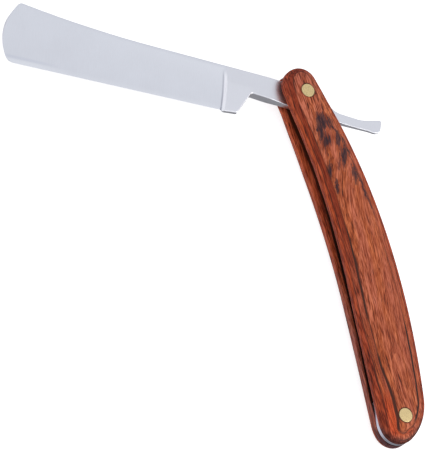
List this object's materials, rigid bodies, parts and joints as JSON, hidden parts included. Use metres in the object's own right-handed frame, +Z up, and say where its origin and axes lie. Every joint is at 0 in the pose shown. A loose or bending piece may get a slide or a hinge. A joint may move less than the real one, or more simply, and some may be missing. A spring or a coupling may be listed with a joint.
{
  "type": "straight razor",
  "caption": "Folding straight razor with a hollow-ground blade, curled tail and crowned laminated wood scales held by flush brass rivets.",
  "frame": {"origin": "on the back scale's outer face, on the pivot axis, where the razor rests on a table", "axes": "+X from the pivot pin towards the wedge pin, +Z up along the pivot axis towards the front scale, -Y to the side the slot takes the blade in from"},
  "size_m": [0.1906, 0.1501, 0.0144],
  "materials": {
    "blade_steel": "satin polished steel",
    "laminated_wood": "resin-dyed laminated wood, semi-gloss",
    "wedge_metal": "polished",
    "washer_brass": "plain",
    "rivet_brass": "sanded flush, matte"
  },
  "bodies": {
    "handle": {"front_scale": "laminated_wood", "back_scale": "laminated_wood", "end_wedge": "wedge_metal", "front_washer": "washer_brass", "back_washer": "washer_brass", "pivot_rivet_tube": "rivet_brass", "pivot_rivet_post": "rivet_brass", "end_rivet_tube": "rivet_brass", "end_rivet_post": "rivet_brass"},
    "blade": {"blade": "blade_steel"}
  },
  "joints": [
    {"name": "blade_pivot", "type": "hinge", "parent": "handle", "child": "blade", "pos_m": [0, 0, 0.0067], "axis": [0, 0, 1], "range_deg": [-215.2, 104.8]}
  ]
}
